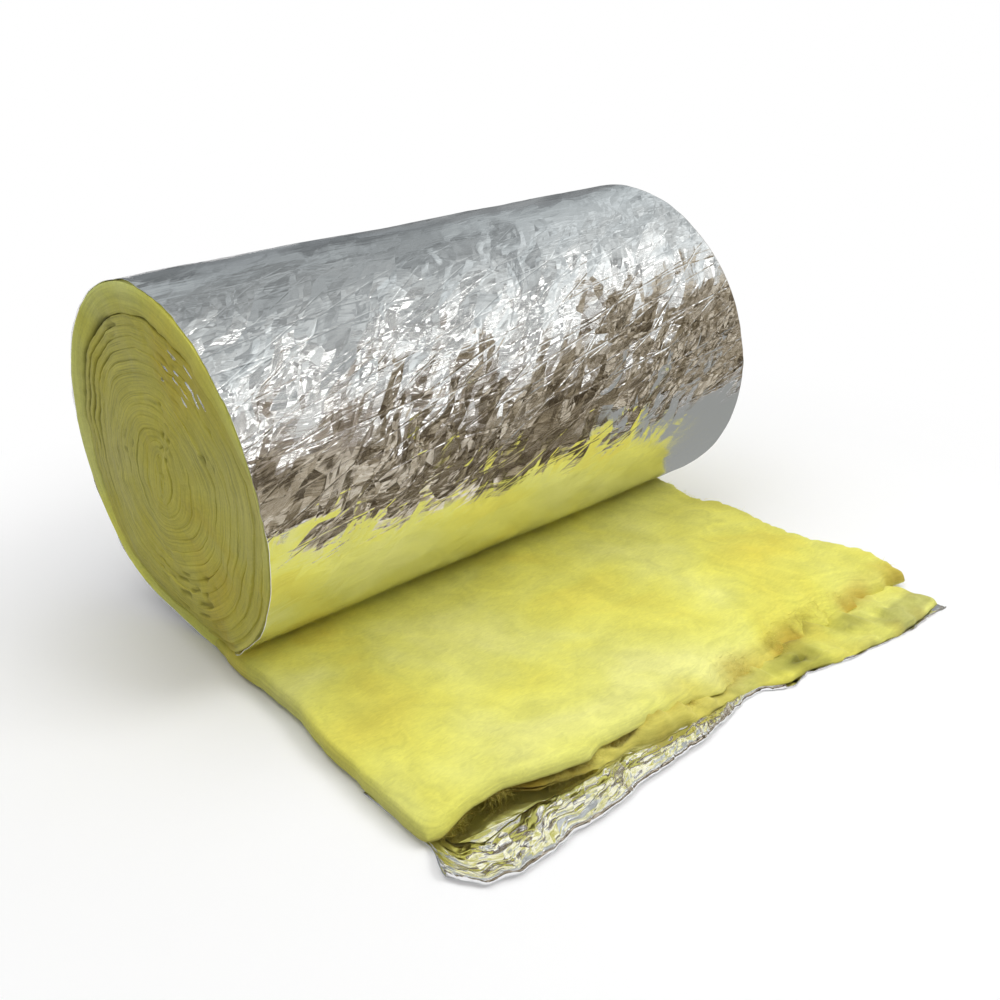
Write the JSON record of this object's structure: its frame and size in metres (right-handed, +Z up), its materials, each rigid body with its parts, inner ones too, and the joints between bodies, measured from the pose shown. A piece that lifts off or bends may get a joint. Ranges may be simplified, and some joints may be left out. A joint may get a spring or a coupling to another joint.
{
  "type": "insulation roll",
  "caption": "Foil-faced glass wool insulation blanket, wound into a roll that lies on its side with its torn free end paid out flat on the floor.",
  "frame": {"origin": "centre of the part's footprint, on the floor", "axes": "+X from the roll towards the free end, +Y along the roll's axis, +Z up"},
  "size_m": [0.6309, 0.6, 0.358],
  "materials": {
    "wool": "soft yellow glass wool, fibrous and matt",
    "foil": "thin bright foil, crinkled all over"
  },
  "bodies": {
    "root": {"wool_blanket": "wool", "foil_facing": "foil"}
  },
  "joints": []
}
